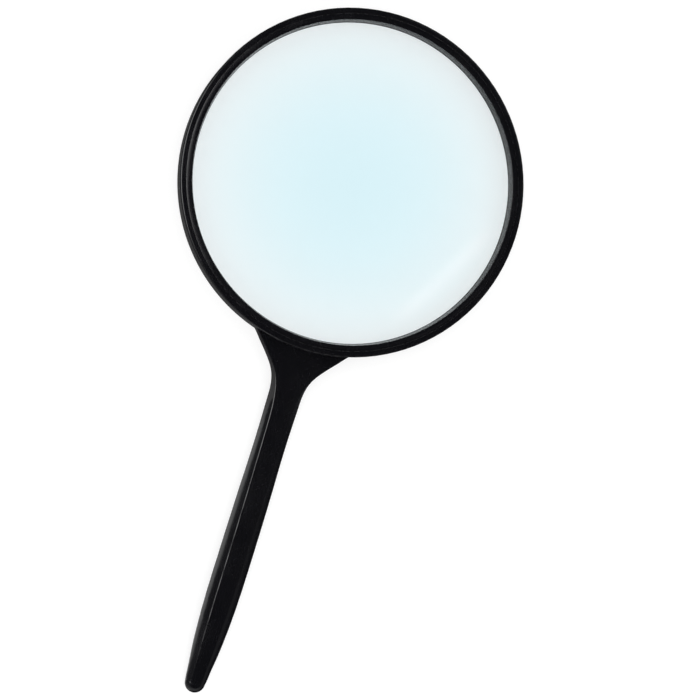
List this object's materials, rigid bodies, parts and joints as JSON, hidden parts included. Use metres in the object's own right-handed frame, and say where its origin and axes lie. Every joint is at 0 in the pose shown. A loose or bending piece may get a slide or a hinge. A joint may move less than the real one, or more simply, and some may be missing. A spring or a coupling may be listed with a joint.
{
  "type": "magnifying glass",
  "caption": "Hand magnifier: a round biconvex glass held by a snap-in ring in a slim black moulded rim, with a flared neck and a long faceted handle closed by a rear cover.",
  "frame": {"origin": "on the plane of the rim's rear face, half way along the overall length and on the handle's centre plane", "axes": "+Z along the lens's axis towards the front; the handle points along -Y; +X to the right seen from the front"},
  "size_m": [0.106, 0.215, 0.0095],
  "materials": {
    "frame_plastic": "black, polished mould",
    "bezel_plastic": "black, satin",
    "lens_glass": "polished, faintly blue-green",
    "gasket_rubber": "matte",
    "screw_steel": "dark zinc"
  },
  "bodies": {
    "root": {"frame": "frame_plastic", "handle_back_cover": "frame_plastic", "bezel_ring": "bezel_plastic", "lens": "lens_glass", "lens_gasket": "gasket_rubber", "handle_screws": "screw_steel"}
  },
  "joints": []
}
